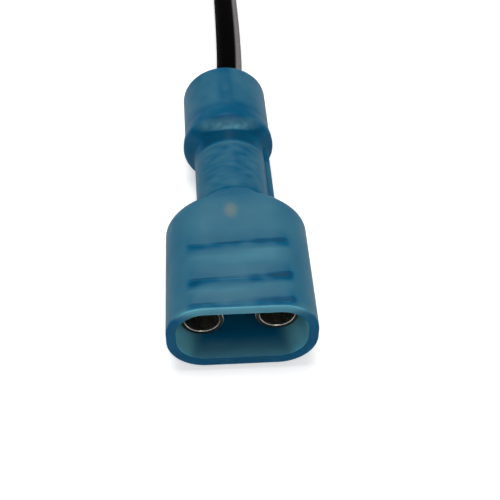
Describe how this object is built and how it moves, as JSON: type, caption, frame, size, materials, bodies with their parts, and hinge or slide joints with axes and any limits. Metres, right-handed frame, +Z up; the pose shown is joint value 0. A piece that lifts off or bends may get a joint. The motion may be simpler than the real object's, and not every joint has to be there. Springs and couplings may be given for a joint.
{
  "type": "female spade terminal",
  "caption": "Insulated female spade terminal: moulded nylon housing over a rolled-edge tab receptacle, crimped on a short two-colour lead with a stripped end.",
  "frame": {"origin": "under the middle of the terminal, on the surface that it lies on, measured without its lead", "axes": "-Y out of the mouth where the tab goes in, +Y along the wire, +Z up from the wide grip face"},
  "size_m": [0.0248, 0.0726, 0.0071],
  "materials": {
    "nylon": "cloudy translucent blue nylon, moulded, soft sheen",
    "tinned_brass": "bright tin plate over folded brass sheet, plain brass at the cut edges",
    "sleeve_brass": "plain drawn brass tube",
    "tinned_copper": "tinned stranded copper",
    "wire_jacket": "black extruded wire insulation with a light grey stripe along it"
  },
  "bodies": {
    "root": {"housing": "nylon", "receptacle": "tinned_brass", "support_sleeve": "sleeve_brass", "conductor": "tinned_copper", "wire": "wire_jacket", "wire_coil": "wire_jacket", "stripped_end": "tinned_copper"}
  },
  "joints": []
}
